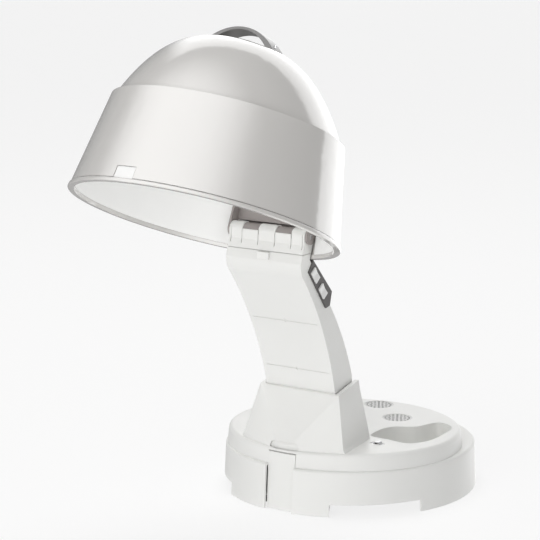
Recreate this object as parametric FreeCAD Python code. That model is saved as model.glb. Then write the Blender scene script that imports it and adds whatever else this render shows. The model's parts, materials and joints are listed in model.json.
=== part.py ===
import FreeCAD, Part
import math
import os

# Tabletop hood hair dryer.  Millimetres, +Z up, front towards -Y.  Everything is first built around the
# middle of the base, on the surface it stands on, and moved along Y at the end, so that the origin lies under
# the middle of the dryer's whole length.

V = FreeCAD.Vector
X_AXIS = V(1, 0, 0)
Y_AXIS = V(0, 1, 0)
Z_AXIS = V(0, 0, 1)

# ---- driving dimensions -------------------------------------------------------------------------------
GAP = 0.3                     # clearance between bodies that move on each other
RUN = 0.05                    # radial clearance of a shaft in its bore

# base
BASE_X, BASE_Y = 151.0, 162.5         # half axes of the oval ledge
BASE_FLARE = 2.4                      # the skirt is this much wider at the table
LEDGE_Z = 56.0
SKIRT_Z = 16.0                        # skirt's lower edge between its feet
FOOT_Z = 1.5                          # lower edge of the skirt's feet
WALL = 3.0
LEDGE_ROUND = 3.5
FEET = ((-123, -65), (-32, 23), (65, 123), (158, 202))   # skirt feet, degrees from the front
PLATE_T = 2.5
RUBBER_R = 9.0
RUBBER_AT = ((-43, -131), (43, -131), (-84, 96), (84, 96))
POST_AT = (141.0, (-75, 75, 142, 218))       # screw posts: distance from the middle, degrees from the front
INLET_R = 6.0
INLET_X, INLET_Z = 40.0, 32.0

# raised deck on the base
DECK_X, DECK_Y = 146.0, 142.4
DECK_MID = -14.4
DECK_Z = 76.0
DECK_TAPER = 2.0
DECK_ROUND = 5.0
TRAY_FLOOR_Z = 50.0
TRAY_OUTLINE = ((50, -40), (47, -14), (54, 14), (76, 29), (92, 66), (112, 58), (124, 22), (125, -24),
                (110, -49), (78, -47))
GRILLES = ((35, 54), (-19, 99))
GRILLE_R = 19.0
CLIP_AT = (80, -68)

# pedestal, part of the deck cover
PED_X = 56.0                  # half width outside, at the rim
EAR_IN = 50.5                 # half width of the arm's slot
RIM_FRONT = (-120.0, 141.0)   # rim plane: (y, z) at the front and at the back
RIM_BACK = (-75.0, 152.0)
PED_REAR_Y = -54.0
REAR_WALL_Z = 97.0            # top of the pedestal's low rear wall
RECESS_TOP = 83.0             # round-cornered recess above the latch
RECESS_DEPTH = 2.6

# arm pivot in the pedestal and hinge at the arm's top, (y, z)
PIVOT = (-90.0, 136.0)
KNUCKLE = (-182.5, 340.0)
PIVOT_R = 4.0
SHAFT_R = 3.0

# arm
ARM_LOW_X, ARM_TOP_X = 48.5, 52.0
ARM_BEND_Z = 303.0
ARM_WALL = 2.5
ARM_END_R = 24.0              # the arm's lower end is round about the pivot
HEAD_Z = 320.0                # seam between the arm and its hinge head
KNUCKLE_R = 9.5
FINGER_R = 8.5
FINGERS = ((-33.7, -11.8), (11.8, 33.7))
GROOVES = (-49.4, -34.0, -11.5, 11.5, 34.0, 49.4)      # upright slots in the hinge head
EAR_X, EAR_OUT = 52.4, 55.0   # the hood's outer ears on the hinge shaft
MARKS_Z = (168.0, 231.0)      # fine grooves across the arm's front
TAB_HALF, TAB_Z = 8.0, (311.0, 319.6)

# hood
HOOD_TILT = 22.3              # front up, degrees
HOOD_AT = (-313.3, 372.5)     # middle of the rim, (y, z)
RIM_X, RIM_Y = 147.8, 162.9
STEP_X, STEP_Y = 129.8, 139.6
STEP_H = 110.6
STEP_BACK = 1.9               # the step's oval lies this much further back
DOME_X, DOME_Y = 126.0, 134.5
DOME_H = 199.4
DOME_FRONT = 7.0              # how far the top of the dome leans towards the front
DOME_POWER = 3.0
SHELL = 2.5
LINER_IN = 4.6                # the liner's wall, in from the band's outer face
LINER_DOME_IN = 9.0           # the liner's dome, in from the outer dome
LINER_T = 1.5
BEAD_H = 4.5
BEAD_TOP = 1.5
BAND_LOW = 2.1                # the band's lower edge
ARM_BAY_BACK = 148.3          # the rim bead leaves room for the arm's corners up to here
TONGUE_TOP = 8.0
BEAD_OUT = 1.3
CATCH_HALF = 12.0
CATCH_H = 15.0

# handle
HANDLE_HALF = 49.0
HANDLE_RISE = 18.5
HANDLE_W = 24.0
HANDLE_BACK = STEP_BACK - DOME_FRONT

# blower in the base
SCROLL_AT = (-22.0, 58.0)
SCROLL_R = 56.0
SCROLL_Z = (22.0, 66.0)
DUCT_HALF = 40.0
DUCT_END_Y = -104.0
IMPELLER_R = 40.0
BLADES = 24
MOTOR_R = 19.0
SHAFT_BORE = 2.5
HEATERS_X = (-19.0, 19.0)
HEATER_Y = (-62.0, 2.0)
HEATER_Z = 44.0
HEATER_R = 13.0

# switches and latch
PANEL = ((-174, 312), (-184, 299), (-145, 251), (-137, 253), (-133, 269))
ROCKERS = ((-170.0, 293.5), (-153.5, 272.5))      # centres, (y, z)
ROCKER_ANGLE = 52.0           # their long side's angle to the horizontal
ROCKER_L, ROCKER_W = 17.0, 10.0
LATCH_HALF = 19.0
LATCH_TOP = 71.0
LATCH_IN = 5.0                # the latch plate lies this far behind the skirt's face
LATCH_PIVOT = (-147.0, 27.0)
LATCH_LUG = (9.0, 15.5)
BRACKET_X = (16.0, 20.5)

os.makedirs("parts", exist_ok=True)
NODES = {}


# ---- helpers ------------------------------------------------------------------------------------------
def box(x0, x1, y0, y1, z0, z1):
    return Part.makeBox(x1 - x0, y1 - y0, z1 - z0, V(x0, y0, z0))


def rod_x(centre, radius, x0, x1):
    """Cylinder along X about centre (y, z)."""
    return Part.makeCylinder(radius, x1 - x0, V(x0, centre[0], centre[1]), X_AXIS)


def disc(centre, radius, z0, z1):
    """Upright cylinder about centre (x, y)."""
    return Part.makeCylinder(radius, z1 - z0, V(centre[0], centre[1], z0))


def extrude_x(points, x0, x1):
    """Prism along X over a polygon of (y, z)."""
    wire = Part.makePolygon([V(x0, y, z) for y, z in points + points[:1]])
    return Part.Face(wire).extrude(V(x1 - x0, 0, 0))


def extrude_y(points, y0, y1):
    """Prism along Y over a polygon of (x, z)."""
    wire = Part.makePolygon([V(x, y0, z) for x, z in points + points[:1]])
    return Part.Face(wire).extrude(V(0, y1 - y0, 0))


def oval(half_x, half_y, z, mid_y=0.0):
    """Ellipse in a horizontal plane."""
    centre = V(0, mid_y, z)
    if half_x >= half_y:
        curve = Part.Ellipse(centre + V(half_x, 0, 0), centre + V(0, half_y, 0), centre)
    else:
        curve = Part.Ellipse(centre + V(0, half_y, 0), centre + V(-half_x, 0, 0), centre)
    return Part.Wire(curve.toShape())


def oval_solid(sections):
    """Straight-sided solid through ovals (half_x, half_y, z, mid_y)."""
    return Part.makeLoft([oval(*s) for s in sections], True, True)


def polar(radius, degrees):
    """Point (x, y) at an angle from the front (-Y), turning towards +X."""
    a = math.radians(degrees)
    return radius * math.sin(a), -radius * math.cos(a)


def wedge(start, end, z0, z1, radius=260.0):
    """Upright sector between two angles from the front."""
    mid = (start + end) / 2
    corners = [(0, 0), polar(radius, start), polar(radius, mid), polar(radius, end)]
    wire = Part.makePolygon([V(x, y, z0) for x, y in corners + corners[:1]])
    return Part.Face(wire).extrude(V(0, 0, z1 - z0))


def screw(at, direction, length, radius=1.7, head=3.4, head_t=2.0):
    """Pan head screw: at is the face under the head, direction is the way the shank points."""
    d = V(*direction)
    shank = Part.makeCylinder(radius, length, V(*at), d)
    cap = Part.makeCylinder(head, head_t, V(*at) - d * head_t, d)
    return shank.fuse(cap).removeSplitter()


def join(shapes):
    first, rest = shapes[0], shapes[1:]
    return first.fuse(list(rest)).removeSplitter() if rest else first


def keep(name, shape):
    NODES[name] = shape


def above_rim(lift=0.0):
    """Everything above the pedestal's sloping rim plane."""
    slope = (RIM_BACK[1] - RIM_FRONT[1]) / (RIM_BACK[0] - RIM_FRONT[0])
    y0, y1 = -260.0, 60.0
    z0 = RIM_FRONT[1] + slope * (y0 - RIM_FRONT[0]) + lift
    z1 = RIM_FRONT[1] + slope * (y1 - RIM_FRONT[0]) + lift
    return extrude_x([(y0, z0), (y1, z1), (y1, 400), (y0, 400)], -200, 200)


# ---- base ---------------------------------------------------------------------------------------------
def skirt_solid(inset, z_low, z_top):
    """The skirt's outer shape, moved in by inset."""
    def half(axis, z):
        return axis - inset + BASE_FLARE * (LEDGE_Z - z) / LEDGE_Z
    return oval_solid([(half(BASE_X, z), half(BASE_Y, z), z, 0.0) for z in (z_low, z_top)])


def rounded_top(solid, radius, z):
    """Rounds the outer top edge of an oval solid."""
    edges = [e for e in solid.Edges if abs(e.BoundBox.ZMin - z) < 0.01 and abs(e.BoundBox.ZMax - z) < 0.01]
    return solid.makeFillet(radius, edges)


def latch_slot(clear, back):
    """Space of the latch plate through the skirt and the deck's front, back to Y = back."""
    return box(-LATCH_HALF - clear, LATCH_HALF + clear, -190, back, -5, LATCH_TOP + 3 * clear)


def screw_posts():
    return [polar(POST_AT[0], a) for a in POST_AT[1]]


def make_housing():
    outer = rounded_top(skirt_solid(0, FOOT_Z, LEDGE_Z), LEDGE_ROUND, LEDGE_Z)
    shell = outer.cut(skirt_solid(WALL, FOOT_Z - 5, LEDGE_Z - WALL))
    inner_edge = oval_solid([(DECK_X - 9, DECK_Y - 9, z, DECK_MID) for z in (LEDGE_Z - 9, LEDGE_Z + 9)])
    shell = shell.cut(inner_edge)
    ends = [a for foot in FEET for a in foot]
    gaps = list(zip(ends[1::2], ends[2::2] + [ends[0] + 360]))
    for start, end in gaps:
        shell = shell.cut(wedge(start, end, FOOT_Z - 5, SKIRT_Z))
    posts = [disc(at, 5.0, SKIRT_Z + PLATE_T, LEDGE_Z - WALL) for at in screw_posts()]
    shell = join([shell] + posts)
    shell = shell.cut(latch_slot(GAP, -146))
    inlet = Part.makeCylinder(INLET_R, 30, V(INLET_X, BASE_Y - 15, INLET_Z), Y_AXIS)
    return shell.cut(inlet)


def make_bottom():
    plate = skirt_solid(WALL + GAP, SKIRT_Z, SKIRT_Z + PLATE_T)
    feet = []
    for x, y in RUBBER_AT:
        foot = Part.makeCone(RUBBER_R - 1, RUBBER_R, SKIRT_Z, V(x, y, 0))
        feet.append(foot)
    plate = plate.cut(box(-LATCH_HALF - 2, LATCH_HALF + 2, -190, -153, 0, 40))
    return plate, Part.makeCompound(feet)


def make_base_screws():
    return [screw((x, y, SKIRT_Z), (0, 0, 1), 14) for x, y in screw_posts()]


def base_screw_holes():
    return [disc(at, 1.7, 0, SKIRT_Z + 14) for at in screw_posts()]


def make_inlet():
    """Rubber bush where the mains lead would enter."""
    bush = Part.makeCylinder(INLET_R, 14, V(INLET_X, BASE_Y - 14, INLET_Z), Y_AXIS)
    collar = Part.makeCylinder(INLET_R + 2.5, 3, V(INLET_X, BASE_Y - 14, INLET_Z), Y_AXIS)
    bore = Part.makeCylinder(3.6, 40, V(INLET_X, BASE_Y - 20, INLET_Z), Y_AXIS)
    return bush.fuse(collar).cut(bore).removeSplitter()


# ---- deck and pedestal --------------------------------------------------------------------------------
def deck_solid(inset, z_low, z_top):
    def row(z):
        taper = DECK_TAPER * (z - LEDGE_Z) / (DECK_Z - LEDGE_Z)
        return (DECK_X - inset - taper, DECK_Y - inset - taper, z, DECK_MID)
    return oval_solid([row(z) for z in (z_low, z_top)])


def pedestal_section(z, facet, front, corner, rear, bulge):
    """One level of the pedestal: a flat facet in front, a flank each side bulging out, sides and a rear."""
    corner_x, corner_y = corner
    rear_x, rear_y = rear

    def flank(side):
        a, b = V(side * facet, front, z), V(side * corner_x, corner_y, z)
        middle = (a + b) * 0.5 + V(side * 0.5, -0.86, 0) * bulge
        return Part.Arc(a, middle, b).toShape()

    def line(a, b):
        return Part.LineSegment(V(*a, z), V(*b, z)).toShape()
    right, left = flank(1), flank(-1)
    edges = [line((-facet, front), (facet, front)), right,
             line((corner_x, corner_y), (rear_x, rear_y)), line((rear_x, rear_y), (-rear_x, rear_y)),
             line((-rear_x, rear_y), (-corner_x, corner_y)), left]
    return Part.Wire(Part.__sortEdges__(edges))


def pedestal_solid():
    """Outer shape of the pedestal up to its rim, wider towards the deck."""
    lean = (RIM_BACK[0] - PED_REAR_Y) / (RIM_BACK[1] - 80.0)
    shoulder, top = 141.0, 160.0
    foot = pedestal_section(LEDGE_Z, 8, -156.3, (84, -126.5), (PED_X + 6, PED_REAR_Y), 6.0)
    low = pedestal_section(80, 8.5, -152.5, (PED_X + 15, -132), (PED_X + 4, PED_REAR_Y), 2.0)
    rear = PED_REAR_Y + lean * (shoulder - 80)
    high = pedestal_section(shoulder, PED_X - 1.5, -120.0, (PED_X, -119.0), (PED_X, rear), 0.2)
    rear = PED_REAR_Y + lean * (top - 80)
    over = pedestal_section(top, PED_X - 1.5, -110.0, (PED_X, -109.0), (PED_X, rear), 0.2)
    levels = [foot, low, high, over]
    blocks = [Part.makeLoft([a, b], True, True) for a, b in zip(levels, levels[1:])]
    return blocks[0].fuse(blocks[1:]).cut(above_rim())


def bore_x(centre, radius, x0, x1):
    """Cutter for holes along X on both sides, between |x| = x0 and x1."""
    return rod_x(centre, radius, x0, x1).fuse(rod_x(centre, radius, -x1, -x0))


def tray_prism(scale, z0, z1):
    """Upright prism over the tray's smooth outline, scaled about its middle."""
    mid_x = sum(x for x, y in TRAY_OUTLINE) / len(TRAY_OUTLINE)
    mid_y = sum(y for x, y in TRAY_OUTLINE) / len(TRAY_OUTLINE)
    points = [V(mid_x + (x - mid_x) * scale, mid_y + (y - mid_y) * scale, z0) for x, y in TRAY_OUTLINE]
    curve = Part.BSplineCurve()
    curve.interpolate(points, PeriodicFlag=True)
    return Part.Face(Part.Wire(curve.toShape())).extrude(V(0, 0, z1 - z0))


def pedestal_hollow():
    """Duct inside the pedestal, with the slot that the arm swings back through."""
    shift = V(0, WALL * 1.15, 0)
    core = pedestal_solid().common(box(-EAR_IN, EAR_IN, -200, PED_REAR_Y - WALL, LEDGE_Z - 1, 200))
    core = core.common(moved(pedestal_solid(), shift))
    top = box(-EAR_IN, EAR_IN, RIM_FRONT[0] + 4, PED_REAR_Y + 10, REAR_WALL_Z, 200)
    front = extrude_x([(RIM_FRONT[0] + 3.6, 200), (RIM_FRONT[0] + 3.6, 141), (-138, REAR_WALL_Z),
                       (0, REAR_WALL_Z), (0, 200)], -EAR_IN, EAR_IN)
    return core.fuse(top.common(front))


def latch_window(grow):
    """Round-cornered recess above the latch, in the pedestal's front."""
    high = box(-LATCH_HALF - grow, LATCH_HALF + grow, -200, -100, LEDGE_Z - 1, RECESS_TOP)
    edges = [e for e in high.Edges if abs(e.BoundBox.ZMin - RECESS_TOP) < 0.01 and e.BoundBox.XLength < 0.01]
    return high.makeFillet(6.0, edges)


def make_top_cover():
    pedestal = pedestal_solid()
    outer = rounded_top(deck_solid(0, LEDGE_Z, DECK_Z), DECK_ROUND, DECK_Z).fuse(pedestal)
    cover = outer.cut(deck_solid(WALL, LEDGE_Z - 1, DECK_Z - WALL)).cut(pedestal_hollow())
    pad = pedestal.common(box(-LATCH_HALF - 5, LATCH_HALF + 5, -200, -100, LEDGE_Z, RECESS_TOP + 5))
    pad = pad.cut(moved(pedestal, V(0, RECESS_DEPTH + WALL, 0)))
    recess = pedestal.common(latch_window(1.2)).cut(moved(pedestal, V(0, RECESS_DEPTH, 0)))
    cover = cover.fuse(pad).cut(recess).cut(latch_slot(GAP, -150.8))
    cover = cover.cut(tray_prism(1.0, TRAY_FLOOR_Z, DECK_Z + 5))
    for x, y in GRILLES:
        cover = cover.cut(disc((x, y), GRILLE_R, DECK_Z - 10, DECK_Z + 5))
    x, y = CLIP_AT
    cover = cover.cut(box(x - 9, x + 9, y - 4, y + 4, DECK_Z - 1.5, DECK_Z + 5))
    return cover.cut(bore_x(PIVOT, PIVOT_R, EAR_IN - 1, PED_X - 0.5)).removeSplitter()


def make_tray():
    """Pocket for clips, let into the deck."""
    cup = tray_prism(1.0, TRAY_FLOOR_Z, DECK_Z)
    return cup.cut(tray_prism(0.95, TRAY_FLOOR_Z + 2.0, DECK_Z + 1))


def make_grille(centre):
    """Round air intake: a disc with rings of small holes."""
    plate = disc(centre, GRILLE_R, DECK_Z - 3.0, DECK_Z - 0.4)
    holes = [disc(centre, 1.6, DECK_Z - 5, DECK_Z + 1)]
    for ring, count in ((5.4, 6), (10.4, 12), (15.2, 18)):
        for i in range(count):
            a = 2 * math.pi * i / count
            at = (centre[0] + ring * math.cos(a), centre[1] + ring * math.sin(a))
            holes.append(disc(at, 1.6, DECK_Z - 5, DECK_Z + 1))
    return plate.cut(Part.makeCompound(holes))


def make_clip():
    """Small bent spring clip on the deck."""
    x, y = CLIP_AT
    profile = [(x - 8.5, 0.0), (x + 8.5, 0.0), (x + 8.5, 1.0), (x + 5.0, 1.0), (x + 3.0, 4.0), (x - 2.0, 4.0),
               (x - 5.0, 1.0), (x - 8.5, 1.0)]
    strip = extrude_y([(px, DECK_Z - 1.5 + pz) for px, pz in profile], y - 3.5, y + 3.5)
    under = [(x - 3.6, -0.1), (x + 3.6, -0.1), (x + 2.2, 2.8), (x - 1.4, 2.8)]
    return strip.cut(extrude_y([(px, DECK_Z - 1.5 + pz) for px, pz in under], y - 5, y + 5))


def make_arm_seal():
    """Curved baffle under the arm's round end, with a lip that rests on the pedestal's rear wall."""
    inner = ARM_END_R + 3.0
    y, z = PIVOT

    def ray(radius, degrees):
        a = math.radians(degrees)
        return y + radius * math.cos(a), z + radius * math.sin(a)
    ring = rod_x(PIVOT, inner + 2.0, -EAR_IN, EAR_IN).cut(rod_x(PIVOT, inner, -EAR_IN - 1, EAR_IN + 1))
    sector = extrude_x([PIVOT, ray(60, -60), ray(80, -105), ray(60, -150)], -EAR_IN, EAR_IN)
    lip = extrude_x([ray(inner, -60), (-60.4, 99.2), (-60.4, REAR_WALL_Z), (-62.6, REAR_WALL_Z),
                     ray(inner + 2.0, -62)], -EAR_IN, EAR_IN)
    return ring.common(sector).fuse(lip).removeSplitter()


def make_pivot_pins():
    pins = [rod_x(PIVOT, PIVOT_R, ARM_LOW_X - 3.0, PED_X - 0.5),
            rod_x(PIVOT, PIVOT_R, 0.5 - PED_X, 3.0 - ARM_LOW_X)]
    return Part.makeCompound(pins)


def make_pivot_washers():
    washers = []
    for x0, x1 in ((ARM_LOW_X + 0.3, EAR_IN), (-EAR_IN, -ARM_LOW_X - 0.3)):
        washers.append(rod_x(PIVOT, 9.0, x0, x1).cut(rod_x(PIVOT, PIVOT_R, -60, 60)))
    return Part.makeCompound(washers)


# ---- latch --------------------------------------------------------------------------------------------
def make_latch():
    """Front release plate with its two pivot lugs."""
    outer = skirt_solid(LATCH_IN, FOOT_Z + 0.5, LATCH_TOP)
    plate = outer.cut(skirt_solid(LATCH_IN + WALL, FOOT_Z - 1, LATCH_TOP + 1))
    plate = plate.common(box(-LATCH_HALF, LATCH_HALF, -190, -140, 0, 100))
    y, z = LATCH_PIVOT
    lugs = [box(x0, x1, -165, y + 4, z - 4, z + 4).common(outer)
            for x0, x1 in (LATCH_LUG, (-LATCH_LUG[1], -LATCH_LUG[0]))]
    return join([plate] + lugs).cut(rod_x(LATCH_PIVOT, 2.0 + RUN, -30, 30)).removeSplitter()


def latch_brackets():
    """Ears on the bottom plate that carry the latch pin, and the post for its spring."""
    floor = SKIRT_Z + PLATE_T
    ears = [box(x0, x1, LATCH_PIVOT[0] - 4, LATCH_PIVOT[0] + 5, floor, LATCH_PIVOT[1] + 5)
            for x0, x1 in (BRACKET_X, (-BRACKET_X[1], -BRACKET_X[0]))]
    ears = [ear.cut(rod_x(LATCH_PIVOT, 2.0, -30, 30)) for ear in ears]
    return ears + [box(-5, 5, LATCH_PIVOT[0] - 1, LATCH_PIVOT[0] + 3, floor, 50)]


def make_latch_pin():
    return rod_x(LATCH_PIVOT, 2.0, -BRACKET_X[1], BRACKET_X[1]).cut(box(-6, 6, -200, -100, 0, 60))


def make_latch_spring():
    """Leaf spring that pushes the latch plate out."""
    y = LATCH_PIVOT[0] - 1
    leaf = [(y, 34), (y, 47), (y - 4.6, 51), (y - 4.6, 50), (y - 0.8, 46.4), (y - 0.8, 34)]
    return extrude_x(leaf, -4, 4)


# ---- blower and heater --------------------------------------------------------------------------------
def make_blower_housing():
    z0, z1 = SCROLL_Z
    x, y = SCROLL_AT
    outer = disc(SCROLL_AT, SCROLL_R, z0, z1).fuse(box(-DUCT_HALF, DUCT_HALF, DUCT_END_Y, y - 20, z0, z1))
    inner = disc(SCROLL_AT, SCROLL_R - 2, z0 + 2, z1 - 2)
    inner = inner.fuse(box(2 - DUCT_HALF, DUCT_HALF - 2, DUCT_END_Y + 2, y - 20, z0 + 2, z1 - 2))
    shell = outer.cut(inner)
    shell = shell.cut(box(2 - DUCT_HALF, DUCT_HALF - 2, DUCT_END_Y + 2, DUCT_END_Y + 34, z1 - 5, z1 + 5))
    eye = disc(SCROLL_AT, 31, z1 - 5, z1 + 5)
    spokes = [box(x - 32, x + 32, y - 3, y + 3, z1 - 2, z1), disc(SCROLL_AT, 12, z1 - 2, z1)]
    return shell.cut(eye).fuse(spokes).removeSplitter()


def make_motor():
    z1 = SCROLL_Z[1] - 2
    can = disc(SCROLL_AT, MOTOR_R, z1 - 26, z1)
    neck = disc(SCROLL_AT, 7.0, z1 - 29, z1 - 26)
    return can.fuse(neck).cut(disc(SCROLL_AT, SHAFT_BORE, z1 - 40, z1 - 20)).removeSplitter()


def make_motor_shaft():
    z1 = SCROLL_Z[1] - 2
    return disc(SCROLL_AT, SHAFT_BORE - RUN, SCROLL_Z[0] + 5, z1 - 20.2)


def make_impeller():
    """Squirrel cage fan: a back plate, a ring of slanted blades and a shroud ring."""
    z0 = SCROLL_Z[0] + 5
    top = SCROLL_Z[1] - 5
    back = disc(SCROLL_AT, IMPELLER_R, z0, z0 + 2)
    hub = disc(SCROLL_AT, 6.0, z0, z0 + 6)
    ring = disc(SCROLL_AT, IMPELLER_R, top - 2, top).cut(disc(SCROLL_AT, IMPELLER_R - 8, top - 3, top + 1))
    blade = box(IMPELLER_R - 8, IMPELLER_R - 0.5, -0.6, 0.6, z0 + 1, top - 1)
    blade.rotate(V(IMPELLER_R - 4, 0, 0), Z_AXIS, 35)
    blades = []
    for i in range(BLADES):
        one = blade.copy()
        one.rotate(V(0, 0, 0), Z_AXIS, 360.0 * i / BLADES)
        one.translate(V(SCROLL_AT[0], SCROLL_AT[1], 0))
        blades.append(one)
    wheel = join([back, hub, ring] + blades)
    return wheel.cut(disc(SCROLL_AT, SHAFT_BORE - RUN, z0 - 1, z0 + 10))


def make_heater_frame():
    """Crossed mica boards that the heating coils are wound on."""
    y0, y1 = HEATER_Y
    half = HEATER_R - 1.0
    boards = []
    for x in HEATERS_X:
        upright = box(x - 0.5, x + 0.5, y0, y1, HEATER_Z - half, HEATER_Z + half)
        shelf = box(x - half, x + half, y0, y1, HEATER_Z - 0.5, HEATER_Z + 0.5)
        boards.append(upright.fuse(shelf).removeSplitter())
    foot = box(HEATERS_X[0] - 2, HEATERS_X[1] + 2, y1 - 3, y1, SCROLL_Z[0] + 2, HEATER_Z - half + 0.4)
    posts = [box(x - 2, x + 2, y1 - 3, y1, HEATER_Z - half, HEATER_Z) for x in HEATERS_X]
    return join(boards + [foot] + posts)


def make_heater_coils():
    turns = []
    y0, y1 = HEATER_Y
    count = 8
    for x in HEATERS_X:
        for i in range(count):
            y = y0 + 4 + (y1 - y0 - 12) * i / (count - 1)
            turns.append(Part.makeTorus(HEATER_R, 0.7, V(x, y, HEATER_Z), Y_AXIS))
    return Part.makeCompound(turns)


def make_thermostat():
    """Snap disc switch on the duct's floor."""
    return disc((0, -72), 7.0, SCROLL_Z[0] + 2, SCROLL_Z[0] + 8).fuse(
        box(-12, 12, -75, -69, SCROLL_Z[0] + 2, SCROLL_Z[0] + 4)).removeSplitter()


# ---- arm ----------------------------------------------------------------------------------------------
def moved(shape, by):
    out = shape.copy()
    out.translate(by)
    return out


def arm_outline():
    """Side view of the arm, (y, z): front up, round the head, rear down, round the lower end."""
    def arc(a, b, c):
        return Part.Arc(V(0, *a), V(0, *b), V(0, *c)).toShape()

    def line(a, b):
        return Part.LineSegment(V(0, *a), V(0, *b)).toShape()

    def end(degrees):
        a = math.radians(degrees)
        return PIVOT[0] + ARM_END_R * math.cos(a), PIVOT[1] + ARM_END_R * math.sin(a)
    front = KNUCKLE[0] - KNUCKLE_R
    rear = KNUCKLE[0] + KNUCKLE_R
    foot = (-77.0, 142.0)
    edges = [arc(end(180), (-140.5, 210), (-190.5, 290)), arc((-190.5, 290), (-197.2, 300), (-198.5, 310)),
             line((-198.5, 310), (front, 331)), line((front, 331), (front, KNUCKLE[1])),
             arc((front, KNUCKLE[1]), (KNUCKLE[0], KNUCKLE[1] + KNUCKLE_R), (rear, KNUCKLE[1])),
             line((rear, KNUCKLE[1]), (rear, 332)), line((rear, 332), (-180, 313)),
             line((-180, 313), (-134, 253)), arc((-134, 253), (-101.5, 205), (-79, 158)),
             line((-79, 158), foot), line(foot, end(-100)), arc(end(-100), end(-140), end(180))]
    return Part.Wire(edges)


def arm_solid(inset=0.0):
    """The arm as a solid, a little narrower at its foot, moved in by inset."""
    wire = arm_outline()
    if inset:
        wire = wire.makeOffset2D(-inset)
        if wire.BoundBox.ZLength > arm_outline().BoundBox.ZLength:
            wire = arm_outline().makeOffset2D(inset)
    slab = Part.Face(wire)
    slab.translate(V(-60, 0, 0))
    slab = slab.extrude(V(120, 0, 0))
    low, top = ARM_LOW_X - inset, ARM_TOP_X - inset
    taper = extrude_y([(-low, 90), (low, 90), (low, 137), (top, ARM_BEND_Z), (top, 400), (-top, 400),
                       (-top, ARM_BEND_Z), (-low, 137)], -300, 0)
    return slab.common(taper)


def arm_half_width(z):
    share = min(max((z - 137) / (ARM_BEND_Z - 137), 0), 1)
    return ARM_LOW_X + (ARM_TOP_X - ARM_LOW_X) * share


def rear_band():
    """Zone of the arm's rear cover, between its side walls."""
    solid = arm_solid()
    band = solid.cut(moved(solid, V(0, -ARM_WALL * 1.2, 0)))
    return band.common(box(-ARM_LOW_X + 4, ARM_LOW_X - 4, -300, 0, 165, 316))


def panel_prism(x0, x1, shrink=0.0):
    wire = Part.makePolygon([V(x0, y, z) for y, z in PANEL + PANEL[:1]])
    if shrink:
        wire = wire.makeOffset2D(-shrink)
    return Part.Face(wire).extrude(V(x1 - x0, 0, 0))


def rocker_block(centre, length, width, x0, x1):
    """Block with its long side along the panel."""
    block = box(x0, x1, -length / 2, length / 2, -width / 2, width / 2)
    block.rotate(V(0, 0, 0), X_AXIS, -ROCKER_ANGLE)
    block.translate(V(0, centre[0], centre[1]))
    return block


def arm_screw_spots():
    """Seats (point, direction) of the screws, square to the arm's rear face."""
    spots = []
    for x, z in ((-30, 190), (30, 190), (-30, 290), (30, 290)):
        probe = arm_solid().common(box(x - 0.5, x + 0.5, -300, 0, z - 0.5, z + 0.5))
        lean = V(0.0, -0.8, -0.6) if z > 250 else V(0.0, -0.9, -0.43)
        spots.append((V(x, probe.BoundBox.YMax, z) + lean * 1.2, lean))
    return spots


def arm_screw_set():
    """Screws through the rear cover into the arm's front shell."""
    return [screw(tuple(at), tuple(lean), 9, radius=1.5, head=3.0, head_t=1.6)
            for at, lean in arm_screw_spots()]


def arm_screw_posts():
    """Posts of the front shell that take the screws."""
    return [Part.makeCylinder(3.6, 70, at + lean * (ARM_WALL + 0.3), lean) for at, lean in arm_screw_spots()]


def mark_cutters():
    """Two fine grooves across the arm's front with a dimple in the middle of each."""
    cutters = []
    for z in MARKS_Z:
        probe = arm_solid().common(box(-0.5, 0.5, -300, 0, z - 0.4, z + 0.4))
        y = probe.BoundBox.YMin
        reach = arm_half_width(z) - 5
        cutters.append(box(-reach, reach, y - 5, y + 0.9, z - 0.5, z + 0.5))
        cutters.append(Part.makeCylinder(1.8, 6, V(0, y - 4.6, z), Y_AXIS))
    return cutters


def make_arm_parts():
    outer, hollow = arm_solid(), arm_solid(ARM_WALL)
    band = rear_band()
    screws = arm_screw_set()
    shell = outer.cut(hollow).cut(band).cut(box(-99, 99, -300, 0, HEAD_Z, 400))
    shell = shell.cut(box(-42, 42, PIVOT[0] - 20, PIVOT[0], 100, PIVOT[1] - 18))
    bosses = bore_x(PIVOT, 9.0, ARM_LOW_X - 5, ARM_LOW_X - ARM_WALL)
    posts = [post.common(hollow) for post in arm_screw_posts()]
    shell = shell.fuse([bosses] + posts).cut(bore_x(PIVOT, PIVOT_R + RUN, 40, 60)).cut(screws)
    shell = shell.cut(panel_prism(ARM_LOW_X - 4, 60)).cut(mark_cutters()).cut(tab_block(0))
    rear = band.cut(hollow).cut(screws)
    return shell.removeSplitter(), rear.removeSplitter(), screws


def tab_block(shrink):
    """Snap tab in the front wall, just under the head's seam."""
    return box(-TAB_HALF + shrink, TAB_HALF - shrink, -200.0, -194.9, TAB_Z[0] + shrink, TAB_Z[1] - shrink)


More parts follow.
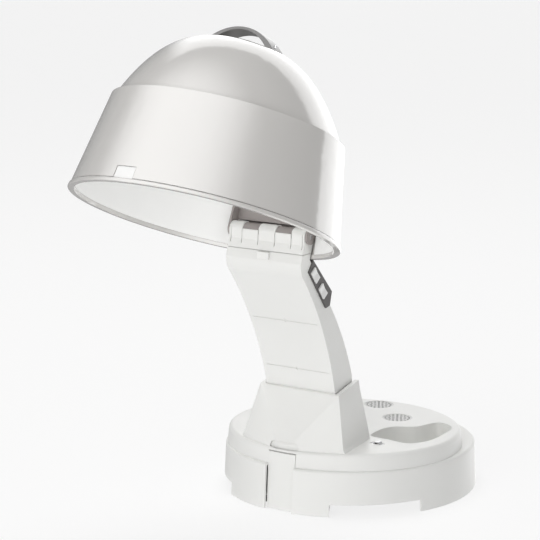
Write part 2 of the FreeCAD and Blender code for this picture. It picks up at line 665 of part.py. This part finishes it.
def make_head():
    """Hinge head with three knuckles and two gaps for the hood's fingers."""
    seam = 0.5
    solid = arm_solid().common(box(-99, 99, -300, 0, HEAD_Z + seam, 400))
    hollow = arm_solid(ARM_WALL).common(box(-99, 99, -300, 0, 300, KNUCKLE[1] - KNUCKLE_R - 1.5))
    head = solid.cut(hollow)
    gap_r = FINGER_R + 0.4
    for x0, x1 in ((-34.0, -11.5), (11.5, 34.0)):
        head = head.cut(rod_x(KNUCKLE, gap_r, x0, x1))
        head = head.cut(box(x0, x1, KNUCKLE[0] - 20, KNUCKLE[0] + 20, KNUCKLE[1] + 2.5, 400))
        head = head.cut(box(x0, x1, KNUCKLE[0], KNUCKLE[0] + 20, KNUCKLE[1] - 4.5, 400))
    grooves = [box(x - 0.5, x + 0.5, -200, KNUCKLE[0] - KNUCKLE_R + 1.0, 326, 400) for x in GROOVES]
    return head.cut(grooves).cut(rod_x(KNUCKLE, SHAFT_R + RUN, -60, 60)).removeSplitter()


def make_bezel():
    plate = panel_prism(ARM_LOW_X - 1.0, ARM_TOP_X + 1.1)
    for centre in ROCKERS:
        plate = plate.cut(rocker_block(centre, ROCKER_L + 2.0, ROCKER_W + 0.8, 30, 60))
    return plate


def make_switch_bodies():
    room = arm_solid(ARM_WALL + 0.7)
    blocks = [rocker_block(c, ROCKER_L + 1, ROCKER_W + 2, ARM_LOW_X - 11, ARM_LOW_X - 1.0) for c in ROCKERS]
    return Part.makeCompound([block.common(room) for block in blocks])


def make_rocker(centre):
    """Rocker cap with two shallow slopes that meet in the middle."""
    x0, x1 = ARM_LOW_X + 0.3, ARM_TOP_X + 2.6
    cap = rocker_block(centre, ROCKER_L, ROCKER_W, x0, x1)
    valley = Part.makePolygon([V(x1, 0, 0), V(x1 + 2, -ROCKER_L, 0), V(x1 + 2, ROCKER_L, 0), V(x1, 0, 0)])
    cutter = Part.Face(valley).extrude(V(0, 0, 40))
    cutter.translate(V(-0.8, 0, -20))
    cutter.rotate(V(0, 0, 0), X_AXIS, -ROCKER_ANGLE)
    cutter.translate(V(0, centre[0], centre[1]))
    return cap.cut(cutter)


# ---- hood, built level with its rim's middle at the origin, then tipped -------------------------------
def to_hood(y, z):
    """(y, z) of the dryer as (backwards, up) of the hood."""
    t = math.radians(HOOD_TILT)
    dy, dz = y - HOOD_AT[0], z - HOOD_AT[1]
    return dy * math.cos(t) - dz * math.sin(t), dy * math.sin(t) + dz * math.cos(t)


KNUCKLE_BACK, KNUCKLE_UP = to_hood(*KNUCKLE)


def place_hood(shape):
    out = shape.copy()
    out.rotate(V(0, 0, 0), X_AXIS, -HOOD_TILT)
    out.translate(V(0, HOOD_AT[0], HOOD_AT[1]))
    return out


def band_row(inset, h):
    s = h / STEP_H
    return (RIM_X + (STEP_X - RIM_X) * s - inset, RIM_Y + (STEP_Y - RIM_Y) * s - inset, h, STEP_BACK * s)


def band_solid(inset, h0, h1):
    return oval_solid([band_row(inset, h0), band_row(inset, h1)])


def dome_solid(inset, base):
    """Rounded cap above the step, from height base up."""
    height = DOME_H - inset - base
    radius = 100.0
    steps = 12
    points = []
    for i in range(steps + 1):
        k = math.cos(math.pi / 2 * i / steps)
        points.append(V(radius * k, 0, height * (1 - k ** DOME_POWER)))
    curve = Part.BSplineCurve()
    curve.interpolate(points, InitialTangent=V(-1, 0, DOME_POWER * height / radius), FinalTangent=V(-1, 0, 0))
    edges = [curve.toShape(), Part.LineSegment(V(0, 0, height), V(0, 0, 0)).toShape(),
             Part.LineSegment(V(0, 0, 0), V(radius, 0, 0)).toShape()]
    cap = Part.Face(Part.Wire(edges)).revolve(V(0, 0, 0), Z_AXIS, 360)
    scale = FreeCAD.Matrix()
    scale.A11 = (DOME_X - inset) / radius
    scale.A22 = (DOME_Y - inset) / radius
    scale.A23 = -DOME_FRONT / height
    cap = cap.transformGeometry(scale)
    cap.translate(V(0, STEP_BACK, base))
    return cap


def liner_solid(inset):
    top = STEP_H - SHELL - 1.0 - (inset - LINER_IN)
    return band_solid(inset, BEAD_TOP, top).fuse(dome_solid(inset + LINER_DOME_IN - LINER_IN, top))


def catch_zone(clear):
    return box(-CATCH_HALF - clear, CATCH_HALF + clear, -200, -100, BAND_LOW - 1, CATCH_H + clear)


def make_hood_band():
    shell = band_solid(0, BAND_LOW, STEP_H).cut(band_solid(SHELL, BAND_LOW - 1, STEP_H - SHELL))
    hole = oval_solid([(DOME_X - 6, DOME_Y - 6, h, STEP_BACK) for h in (STEP_H - 9, STEP_H + 9)])
    return shell.cut(hole).cut(catch_zone(GAP))


def make_hood_dome():
    dome = dome_solid(0, STEP_H).cut(dome_solid(SHELL, STEP_H))
    return dome.cut(handle_screw_set())


def make_bead():
    """Lip round the rim with a tongue between band and liner."""
    def grown(by, h0, h1):
        return band_solid(-by, h0, h1)
    lip = grown(BEAD_OUT, BEAD_TOP - BEAD_H, BEAD_TOP)
    low = [e for e in lip.Edges if e.BoundBox.ZLength < 0.01]
    lip = lip.makeFillet(1.2, low)
    tongue = band_solid(SHELL + 0.1, BEAD_TOP, TONGUE_TOP)
    ring = lip.fuse(tongue).cut(band_solid(LINER_IN + LINER_T, -20, TONGUE_TOP + 5))
    ring = ring.cut(band_solid(LINER_IN - 0.1, BEAD_TOP, TONGUE_TOP + 5))
    ring = ring.cut(box(-54, 54, 100, ARM_BAY_BACK, -20, 30))
    return ring.cut(box(-CATCH_HALF - GAP, CATCH_HALF + GAP, -200, -100, BEAD_TOP, 30)).removeSplitter()


def make_catch():
    """Striker in the front of the rim that the base's latch takes hold of."""
    tile = band_solid(0.7, BEAD_TOP, CATCH_H).cut(band_solid(LINER_IN - 0.3, 0, CATCH_H + 5))
    tile = tile.common(box(-CATCH_HALF, CATCH_HALF, -200, -100, BEAD_TOP, CATCH_H))
    return tile.cut(box(-CATCH_HALF + 3, CATCH_HALF - 3, -200, -157.5, 6.0, 10.0).common(
        band_solid(SHELL, 0, 30)))


def make_liner():
    """Perforated inner bonnet."""
    shell = liner_solid(LINER_IN).cut(liner_solid(LINER_IN + LINER_T))
    holes = []
    for ring, count in ((0.25, 8), (0.5, 14), (0.75, 20)):
        for i in range(count):
            a = 2 * math.pi * (i + 0.5) / count
            at = (DOME_X * ring * math.cos(a), DOME_Y * ring * math.sin(a))
            holes.append(disc(at, 3.0, STEP_H + 3, DOME_H))
    arm_notch = box(-58, 58, 100, 200, 0, KNUCKLE_UP + 11)
    return shell.cut(Part.makeCompound(holes)).cut(arm_notch)


def barrel(radius, x0, x1):
    return rod_x((KNUCKLE_BACK, KNUCKLE_UP), radius, x0, x1)


def make_hinge_bracket():
    """Grey hinge block on the hood's rear wall, with two fingers and two side ears on the hinge shaft."""
    y, h = KNUCKLE_BACK, KNUCKLE_UP
    room = liner_solid(LINER_IN + LINER_T + 0.3).fuse(
        band_solid(SHELL + 0.3, 0, h + 10.7).common(box(-57.5, 57.5, 100, 200, 0, h + 10.7)))
    block = extrude_x([(y + 5, h + 12.2), (y + 30, h + 12.2), (y + 30, h + 46), (y - 7, h + 46),
                       (y - 0.5, h + 34), (y + 3, h + 24)], -EAR_OUT, EAR_OUT)
    plate = box(-48, 48, y + 10.3, y + 30, h + 2, h + 14)
    pieces = [block.common(room), plate.common(room)]
    for x0, x1 in FINGERS:
        pieces.append(barrel(FINGER_R, x0, x1))
        pieces.append(box(x0, x1, y + 2, y + 11, h + 1, h + 5))
    side = extrude_x([(y - 9, h), (y + 9, h), (y + 9, h + 30), (y - 8, h + 34)], -EAR_OUT, EAR_OUT)
    for x0, x1 in ((EAR_X, EAR_OUT), (-EAR_OUT, -EAR_X)):
        pieces.append(barrel(KNUCKLE_R - 0.5, x0, x1).common(room))
        pieces.append(side.common(box(x0, x1, 0, 300, -50, 200)).common(room))
    bracket = join(pieces).cut(barrel(SHAFT_R + RUN, -60, 60))
    return bracket.cut(bracket_screw_set())


def bracket_screw_set(gap=0.0):
    """Three screws through the bracket into the hood's rear wall, or their holes with a gap round them."""
    y, h = KNUCKLE_BACK - 10, KNUCKLE_UP + 38
    return [screw((x, y, h), (0, 0.97, 0.24), 22 + gap, radius=1.7 + gap, head=3.2 + gap, head_t=1.8)
            for x in (-28, 0, 28)]


def make_handle():
    base = DOME_H - 6.0
    outer = Part.Wire([Part.Arc(V(-HANDLE_HALF, 0, base), V(0, 0, DOME_H + HANDLE_RISE),
                                V(HANDLE_HALF, 0, base)).toShape(),
                       Part.LineSegment(V(HANDLE_HALF, 0, base), V(-HANDLE_HALF, 0, base)).toShape()])
    thick = HANDLE_HALF - 9.0
    inner = Part.Wire([Part.Arc(V(-thick, 0, base), V(0, 0, DOME_H + HANDLE_RISE - 3.0),
                                V(thick, 0, base)).toShape(),
                       Part.LineSegment(V(thick, 0, base), V(-thick, 0, base)).toShape()])
    strap = Part.Face(outer).extrude(V(0, HANDLE_W, 0)).cut(Part.Face(inner).extrude(V(0, HANDLE_W, 0)))
    strap.translate(V(0, HANDLE_BACK - HANDLE_W / 2, 0))
    strap = strap.cut(dome_solid(0, STEP_H))
    return strap.cut(handle_screw_set())


def handle_screw_set():
    return [screw((x, HANDLE_BACK, DOME_H - 8.3), (0, 0, 1), 11, radius=1.5, head=3.0, head_t=1.8)
            for x in (-HANDLE_HALF + 5.2, HANDLE_HALF - 5.2)]


# ---- assembly -----------------------------------------------------------------------------------------
def build_base():
    bottom, rubber = make_bottom()
    screws = make_base_screws()
    housing = make_housing().cut(base_screw_holes())
    bottom = join([bottom.cut(base_screw_holes())] + latch_brackets())
    keep("base_housing", housing)
    keep("base_bottom_plate", bottom)
    keep("rubber_feet", rubber)
    keep("base_screws", Part.makeCompound(screws))
    keep("cord_inlet", make_inlet())
    keep("top_cover", make_top_cover())
    keep("storage_tray", make_tray())
    keep("intake_grille_right", make_grille(GRILLES[0]))
    keep("intake_grille_rear", make_grille(GRILLES[1]))
    keep("deck_clip", make_clip())
    keep("arm_seal", make_arm_seal())
    keep("arm_pivot_pins", make_pivot_pins())
    keep("arm_pivot_washers", make_pivot_washers())
    keep("latch_pin", make_latch_pin())
    keep("latch_spring", make_latch_spring())
    keep("latch_plate", make_latch())


def build_blower():
    keep("blower_housing", make_blower_housing())
    keep("fan_motor", make_motor())
    keep("motor_shaft", make_motor_shaft())
    keep("impeller", make_impeller())
    keep("heater_frame", make_heater_frame())
    keep("heater_coils", make_heater_coils())
    keep("thermostat", make_thermostat())


def build_arm():
    shell, rear, screws = make_arm_parts()
    keep("arm_shell", shell)
    keep("arm_rear_cover", rear)
    keep("arm_screws", Part.makeCompound(screws))
    keep("arm_hinge_head", make_head())
    keep("head_snap_tab", tab_block(0.2))
    keep("switch_bezel", make_bezel())
    keep("switch_bodies", make_switch_bodies())
    keep("heat_rocker", make_rocker(ROCKERS[0]))
    keep("speed_rocker", make_rocker(ROCKERS[1]))
    keep("hinge_shaft", rod_x(KNUCKLE, SHAFT_R, -EAR_OUT + 0.2, EAR_OUT - 0.2))


def build_hood():
    keep("hood_band", place_hood(make_hood_band()))
    keep("hood_dome", place_hood(make_hood_dome()))
    keep("rim_bead", place_hood(make_bead()))
    keep("latch_catch", place_hood(make_catch()))
    screws = bracket_screw_set()
    keep("hood_liner", place_hood(make_liner().cut(Part.makeCompound(bracket_screw_set(0.2)))))
    keep("hinge_bracket", place_hood(make_hinge_bracket()))
    keep("bracket_screws", place_hood(Part.makeCompound(screws)))
    keep("carry_handle", place_hood(make_handle()))
    keep("handle_screws", place_hood(Part.makeCompound(handle_screw_set())))


build_base()
build_blower()
build_arm()
build_hood()

# The origin goes under the middle of the whole dryer, rim bead to the base's rear edge.
whole = Part.makeCompound(list(NODES.values())).optimalBoundingBox(False, False)
shift = V(-(whole.XMin + whole.XMax) / 2, -(whole.YMin + whole.YMax) / 2, -whole.ZMin)
print("shift", shift, "size", whole.XLength, whole.YLength, whole.ZLength)

for name, shape in NODES.items():
    shape = moved(shape, shift)
    shape.exportStep("parts/" + name + ".step")
    print(name, shape.isValid(), len(shape.Solids), round(shape.Volume / 1000, 2))
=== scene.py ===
import json
import math

import bmesh
import bpy
from mathutils import Matrix, Vector


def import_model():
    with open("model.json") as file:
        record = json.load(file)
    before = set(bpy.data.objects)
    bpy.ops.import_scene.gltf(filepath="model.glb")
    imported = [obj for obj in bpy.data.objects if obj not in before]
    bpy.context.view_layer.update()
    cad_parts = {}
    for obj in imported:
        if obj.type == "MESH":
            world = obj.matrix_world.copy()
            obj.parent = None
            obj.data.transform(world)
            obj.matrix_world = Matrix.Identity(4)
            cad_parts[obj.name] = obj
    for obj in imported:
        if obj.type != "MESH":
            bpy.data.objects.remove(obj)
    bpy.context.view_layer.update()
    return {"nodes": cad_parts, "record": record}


# Looks of the tabletop hood hair dryer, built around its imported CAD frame.
# Metres, +Z up, front towards -Y.

# ---- driving values -----------------------------------------------------------------------------------
BASE_Y = 0.15075                     # the middle of the base, from the origin

# camera: place, aim and lens fitted to the picture's perspective
CAM_AZ, CAM_EL, CAM_ROLL = 33.74, 10.50, 0.47
CAM_DIST = 2.69065
CAM_AIM = (-0.0850, -0.0567 + BASE_Y, 0.2677)
CAM_LENS = 146.0

# colours, linear
WHITE_GLOSS = (0.66, 0.645, 0.625)
WHITE_SATIN = (0.84, 0.84, 0.82)
LINER_WHITE = (0.96, 0.96, 0.95)
ROCKER_WHITE = (0.86, 0.86, 0.85)
WARM_GREY = (0.33, 0.30, 0.29)
DARK_GREY = (0.085, 0.080, 0.078)
HANDLE_GREY = (0.15, 0.147, 0.144)
GRILLE_GREY = (0.68, 0.68, 0.67)
RUBBER_GREY = (0.055, 0.055, 0.055)
STEEL = (0.55, 0.55, 0.56)
BLACK = (0.018, 0.018, 0.018)
MICA = (0.48, 0.38, 0.22)
PLATE_GREY = (0.46, 0.46, 0.45)
MOTOR_GREY = (0.42, 0.42, 0.43)
WIRE_GREY = (0.30, 0.28, 0.26)

# stage: half-width of the floor, its colour and its glow
STAGE_R = 14.0
FLOOR = (0.22, 0.22, 0.22)
FLOOR_GLOW = 0.76

# light: even surround; what the gloss reflects is a grey studio with two bright, soft-edged panels.
# panel: direction of its middle, and the cosines between which it fades in
AMBIENT = 0.36
GLOSS_DARK = 0.38
BACKDROP = ((-0.546, 0.818, -0.182), (0.40, 0.47))
BACKDROP_SIDE = (0.80, 0.53, 0.55)         # the backdrop reaches round on the right and above only
BACKDROP_SIDE_EDGE = (-0.12, 0.10)
BACKDROP_LOW, BACKDROP_HIGH = 2.2, 1.7     # brightness at the horizon and high up
BACKDROP_HEIGHTS = (0.0, 0.5)              # sines of the heights between which it changes
FRONT_PANEL = ((0.000, -0.906, 0.423), (0.12, 0.88))
FRONT_BRIGHT = 4.4

# area lights: name, place, aim, width, watts, height
LIGHTS = (
    ("key", (0.3, -3.0, 1.8), (0, 0, 0.3), 2.2, 24, 2.0),
    ("low", (0.3, -2.3, 0.25), (-0.05, 0.05, 0.55), 1.2, 7, 0.3),
    ("top", (-0.4, 0.6, 3.2), (0, 0, 0.3), 2.0, 38, 2.0),
)

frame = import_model()
NODES = frame["nodes"]


# ---- materials ----------------------------------------------------------------------------------------
def new_material(name):
    """New node material, with its nodes, its links and its main shader."""
    m = bpy.data.materials.new(name)
    m.use_nodes = True
    return m, m.node_tree.nodes, m.node_tree.links, m.node_tree.nodes["Principled BSDF"]


def noise(nodes, links, scale, detail=4.0, rough=0.5, stretch=(1.0, 1.0, 1.0)):
    """Noise in object space, stretched along the axes."""
    coord = nodes.new("ShaderNodeTexCoord")
    place = nodes.new("ShaderNodeMapping")
    place.inputs["Scale"].default_value = stretch
    tex = nodes.new("ShaderNodeTexNoise")
    tex.inputs["Scale"].default_value = scale
    tex.inputs["Detail"].default_value = detail
    tex.inputs["Roughness"].default_value = rough
    links.new(coord.outputs["Object"], place.inputs["Vector"])
    links.new(place.outputs["Vector"], tex.inputs["Vector"])
    return tex.outputs["Fac"]


def ramp(nodes, links, value, low, high, start=0.3, end=0.7):
    """Colour ramp between two colours over a value."""
    node = nodes.new("ShaderNodeValToRGB")
    node.color_ramp.elements[0].position = start
    node.color_ramp.elements[1].position = end
    node.color_ramp.elements[0].color = (*low, 1)
    node.color_ramp.elements[1].color = (*high, 1)
    links.new(value, node.inputs["Fac"])
    return node.outputs["Color"]


def spread(nodes, links, value, low, high):
    """Maps a value of about 0.3 to 0.7 to low to high."""
    node = nodes.new("ShaderNodeMapRange")
    node.inputs["From Min"].default_value = 0.3
    node.inputs["From Max"].default_value = 0.7
    node.inputs["To Min"].default_value = low
    node.inputs["To Max"].default_value = high
    links.new(value, node.inputs["Value"])
    return node.outputs["Result"]


def bump(nodes, links, value, strength, distance, shader, normal=None):
    """Bumps the shader's normal by a height, over another normal if one is given."""
    node = nodes.new("ShaderNodeBump")
    if normal:
        links.new(normal, node.inputs["Normal"])
    node.inputs["Strength"].default_value = strength
    node.inputs["Distance"].default_value = distance
    links.new(value, node.inputs["Height"])
    links.new(node.outputs["Normal"], shader.inputs["Normal"])


def shade(colour, by):
    """Colour made lighter or darker."""
    return tuple(max(0.0, min(1.0, c * by)) for c in colour)


def plastic(name, colour, rough, grain=900.0, grain_depth=0.00002, variation=0.03, coat=0.0, edge_lift=0.06,
            shine=0.5, soft=0.0006):
    """Moulded plastic: fine grain, faint cloudy colour and gloss changes, lighter on sharp convex edges."""
    m, nodes, links, shader = new_material(name)
    cloud = noise(nodes, links, 6.0)
    body = ramp(nodes, links, cloud, shade(colour, 1 - variation), shade(colour, 1 + variation * 0.5))
    # Sharp convex edges, found by pointiness, are mixed towards a lighter colour.
    geometry = nodes.new("ShaderNodeNewGeometry")
    edge = nodes.new("ShaderNodeMapRange")
    edge.inputs["From Min"].default_value = 0.52
    edge.inputs["From Max"].default_value = 0.60
    edge.inputs["To Max"].default_value = edge_lift
    links.new(geometry.outputs["Pointiness"], edge.inputs["Value"])
    mix = nodes.new("ShaderNodeMix")
    mix.data_type = "RGBA"
    mix.inputs[7].default_value = (*shade(colour, 1.3), 1)
    links.new(edge.outputs["Result"], mix.inputs[0])
    links.new(body, mix.inputs[6])
    links.new(mix.outputs[2], shader.inputs["Base Color"])
    smear = noise(nodes, links, 22.0, detail=6.0, rough=0.6)
    links.new(spread(nodes, links, smear, rough * 0.88, rough * 1.15), shader.inputs["Roughness"])
    shader.inputs["Specular IOR Level"].default_value = shine
    shader.inputs["Coat Weight"].default_value = coat
    shader.inputs["Coat Roughness"].default_value = 0.05
    shader.inputs["Coat IOR"].default_value = 1.6
    rounded = nodes.new("ShaderNodeBevel")
    rounded.samples = 4
    rounded.inputs["Radius"].default_value = soft
    fine = noise(nodes, links, grain, detail=2.0)
    bump(nodes, links, fine, 0.35, grain_depth, shader, rounded.outputs["Normal"])
    return m


def steel(name, colour, rough, brushed=(1.0, 1.0, 30.0)):
    """Bare or plated steel with fine drawn lines."""
    m, nodes, links, shader = new_material(name)
    lines = noise(nodes, links, 160.0, detail=5.0, stretch=brushed)
    tint = ramp(nodes, links, lines, shade(colour, 0.86), shade(colour, 1.1))
    links.new(tint, shader.inputs["Base Color"])
    links.new(spread(nodes, links, lines, rough * 0.8, rough * 1.3), shader.inputs["Roughness"])
    shader.inputs["Metallic"].default_value = 1.0
    bump(nodes, links, lines, 0.2, 0.00002, shader)
    return m


def painted(name, colour):
    """Powder paint with a slight orange peel."""
    m, nodes, links, shader = new_material(name)
    peel = noise(nodes, links, 420.0, detail=2.0)
    tint = ramp(nodes, links, peel, shade(colour, 0.95), shade(colour, 1.03))
    links.new(tint, shader.inputs["Base Color"])
    links.new(spread(nodes, links, peel, 0.36, 0.48), shader.inputs["Roughness"])
    bump(nodes, links, peel, 0.4, 0.00008, shader)
    return m


def rubber(name, colour):
    """Soft rubber with dust in its grain."""
    m, nodes, links, shader = new_material(name)
    dust = noise(nodes, links, 260.0, detail=8.0, rough=0.7)
    tint = ramp(nodes, links, dust, shade(colour, 0.8), shade(colour, 1.6), 0.45, 0.8)
    links.new(tint, shader.inputs["Base Color"])
    links.new(spread(nodes, links, dust, 0.72, 0.9), shader.inputs["Roughness"])
    bump(nodes, links, dust, 0.5, 0.00006, shader)
    return m


def mica_board(name):
    """Layered mica with darker flakes."""
    m, nodes, links, shader = new_material(name)
    flakes = noise(nodes, links, 300.0, detail=8.0, rough=0.75, stretch=(1.0, 1.0, 3.0))
    tint = ramp(nodes, links, flakes, shade(MICA, 0.55), shade(MICA, 1.25))
    links.new(tint, shader.inputs["Base Color"])
    shader.inputs["Roughness"].default_value = 0.55
    bump(nodes, links, flakes, 0.5, 0.00005, shader)
    return m


MATERIALS = {
    "shell_white": plastic("shell_white", WHITE_GLOSS, 0.22, grain=350.0, grain_depth=0.000006, coat=1.0,
                           soft=0.0018),
    "body_white": plastic("body_white", WHITE_SATIN, 0.42, shine=0.3),
    "liner_white": plastic("liner_white", LINER_WHITE, 0.48),
    "hinge_grey": plastic("hinge_grey", WARM_GREY, 0.38, variation=0.06),
    "dark_trim": plastic("dark_trim", DARK_GREY, 0.42, variation=0.08, edge_lift=0.12),
    "handle_grey": plastic("handle_grey", HANDLE_GREY, 0.30, variation=0.08, edge_lift=0.15, coat=0.1),
    "rocker_white": plastic("rocker_white", ROCKER_WHITE, 0.30),
    "grille_grey": plastic("grille_grey", GRILLE_GREY, 0.45, variation=0.05),
    "rubber_grey": rubber("rubber_grey", RUBBER_GREY),
    "screw_steel": steel("screw_steel", STEEL, 0.30),
    "plate_steel": painted("plate_steel", PLATE_GREY),
    "motor_steel": steel("motor_steel", MOTOR_GREY, 0.36, (1.0, 1.0, 12.0)),
    "duct_black": plastic("duct_black", BLACK, 0.55, variation=0.15, edge_lift=0.2),
    "mica": mica_board("mica"),
    "nichrome": steel("nichrome", WIRE_GREY, 0.45),
}


def dress_nodes():
    """Gives every CAD node the material of its record slot."""
    slots = {}
    for part in frame["record"]["subparts"]:
        slots[part["node"]] = part["material_slot"]
    for name, obj in NODES.items():
        obj.data.materials.clear()
        obj.data.materials.append(MATERIALS[slots[name]])


def smooth_nodes(angle=35.0):
    """Smooth shading with creases kept on every CAD node."""
    for obj in NODES.values():
        for polygon in obj.data.polygons:
            polygon.use_smooth = True
        for edge in obj.data.edges:
            edge.use_edge_sharp = False
        mod = obj.modifiers.new("weighted", "WEIGHTED_NORMAL")
        mod.keep_sharp = True
        bpy.context.view_layer.objects.active = obj
        obj.data.set_sharp_from_angle(angle=math.radians(angle))


dress_nodes()
smooth_nodes()


# ---- camera, floor and light --------------------------------------------------------------------------
def camera():
    """Camera at a turn and height round its aim, rolled a little."""
    az, el, roll = (math.radians(a) for a in (CAM_AZ, CAM_EL, CAM_ROLL))
    back = Vector((math.sin(az) * math.cos(el), -math.cos(az) * math.cos(el), math.sin(el)))
    right = Vector((math.cos(az), math.sin(az), 0))
    up = back.cross(right)
    turned_right = right * math.cos(roll) + up * math.sin(roll)
    turned_up = up * math.cos(roll) - right * math.sin(roll)
    data = bpy.data.cameras.new("camera")
    data.lens = CAM_LENS
    data.sensor_width = 36.0
    data.clip_end = 50
    cam = bpy.data.objects.new("camera", data)
    rotation = Matrix((turned_right, turned_up, back)).transposed().to_4x4()
    cam.matrix_world = Matrix.Translation(Vector(CAM_AIM) + back * CAM_DIST) @ rotation
    bpy.context.scene.collection.objects.link(cam)
    bpy.context.scene.camera = cam


def stage_material():
    """Pale matt white that glows a little, as in a light tent."""
    m, nodes, links, shader = new_material("stage")
    tone = noise(nodes, links, 3.0)
    tint = ramp(nodes, links, tone, shade(FLOOR, 0.995), shade(FLOOR, 1.0))
    links.new(tint, shader.inputs["Base Color"])
    shader.inputs["Roughness"].default_value = 0.9
    shader.inputs["Specular IOR Level"].default_value = 0.1
    shader.inputs["Emission Color"].default_value = (1, 1, 1, 1)
    shader.inputs["Emission Strength"].default_value = FLOOR_GLOW
    return m


def stage_piece(name, bm, material):
    """Stage object that reflections don't see."""
    mesh = bpy.data.meshes.new(name)
    bm.to_mesh(mesh)
    bm.free()
    obj = bpy.data.objects.new(name, mesh)
    obj.data.materials.append(material)
    obj.visible_glossy = False
    bpy.context.scene.collection.objects.link(obj)
    return obj


def stage():
    """Flat pale floor, and a far round wall that hides the horizon from the camera."""
    material = stage_material()
    wall_r = STAGE_R * 0.98
    bm = bmesh.new()
    bmesh.ops.create_grid(bm, x_segments=8, y_segments=8, size=STAGE_R)
    stage_piece("floor", bm, material)
    bm = bmesh.new()
    bmesh.ops.create_cone(bm, cap_ends=False, segments=64, radius1=wall_r, radius2=wall_r,
                          depth=STAGE_R * 2)
    wall = stage_piece("backdrop", bm, material)
    wall.visible_diffuse = False
    wall.visible_shadow = False


def area_light(name, at, aim, width, power, height):
    """Rectangular light that only lights: neither the camera nor reflections see it."""
    data = bpy.data.lights.new(name, "AREA")
    data.energy = power
    data.shape = "RECTANGLE"
    data.size = width
    data.size_y = height
    obj = bpy.data.objects.new(name, data)
    obj.location = at
    obj.rotation_euler = (Vector(aim) - Vector(at)).to_track_quat("-Z", "Y").to_euler()
    obj.visible_glossy = False
    obj.visible_camera = False
    bpy.context.scene.collection.objects.link(obj)


def dot(nodes, links, vector, direction):
    """How far a vector points along a direction."""
    node = nodes.new("ShaderNodeVectorMath")
    node.operation = "DOT_PRODUCT"
    node.inputs[1].default_value = direction
    links.new(vector, node.inputs[0])
    return node.outputs["Value"]


def fade(nodes, links, value, low, high, to_low=0.0, to_high=1.0):
    """Smooth change from to_low to to_high as value goes from low to high."""
    node = nodes.new("ShaderNodeMapRange")
    node.interpolation_type = "SMOOTHSTEP"
    node.inputs["From Min"].default_value = low
    node.inputs["From Max"].default_value = high
    node.inputs["To Min"].default_value = to_low
    node.inputs["To Max"].default_value = to_high
    links.new(value, node.inputs["Value"])
    return node.outputs["Result"]


def combine(nodes, links, operation, a, b):
    """Maths on two values, each a socket or a number."""
    node = nodes.new("ShaderNodeMath")
    node.operation = operation
    for socket, value in zip(node.inputs, (a, b)):
        if isinstance(value, float):
            socket.default_value = value
        else:
            links.new(value, socket)
    return node.outputs["Value"]


def world():
    """Even white surround; for gloss a grey studio with bright panels."""
    w = bpy.data.worlds.new("studio")
    w.use_nodes = True
    nodes, links = w.node_tree.nodes, w.node_tree.links
    even = nodes["Background"]
    even.inputs["Color"].default_value = (1, 1, 1, 1)
    even.inputs["Strength"].default_value = AMBIENT
    direction = nodes.new("ShaderNodeTexCoord").outputs["Generated"]
    height = dot(nodes, links, direction, (0, 0, 1))
    to, edge = BACKDROP
    backdrop = combine(nodes, links, "MULTIPLY",
                       fade(nodes, links, dot(nodes, links, direction, to), *edge),
                       fade(nodes, links, dot(nodes, links, direction, BACKDROP_SIDE),
                            *BACKDROP_SIDE_EDGE))
    backdrop = combine(nodes, links, "MULTIPLY", backdrop,
                       fade(nodes, links, height, *BACKDROP_HEIGHTS, BACKDROP_LOW, BACKDROP_HIGH))
    to, edge = FRONT_PANEL
    front = fade(nodes, links, dot(nodes, links, direction, to), *edge, 0.0, FRONT_BRIGHT)
    both = combine(nodes, links, "ADD", backdrop, front)
    gloss = nodes.new("ShaderNodeBackground")
    links.new(combine(nodes, links, "ADD", both, GLOSS_DARK), gloss.inputs["Strength"])
    mix = nodes.new("ShaderNodeMixShader")
    links.new(nodes.new("ShaderNodeLightPath").outputs["Is Glossy Ray"], mix.inputs["Fac"])
    links.new(even.outputs["Background"], mix.inputs[1])
    links.new(gloss.outputs["Background"], mix.inputs[2])
    links.new(mix.outputs["Shader"], nodes["World Output"].inputs["Surface"])
    bpy.context.scene.world = w


camera()
stage()
world()
for light in LIGHTS:
    area_light(*light)
bpy.context.scene.view_settings.view_transform = "Standard"
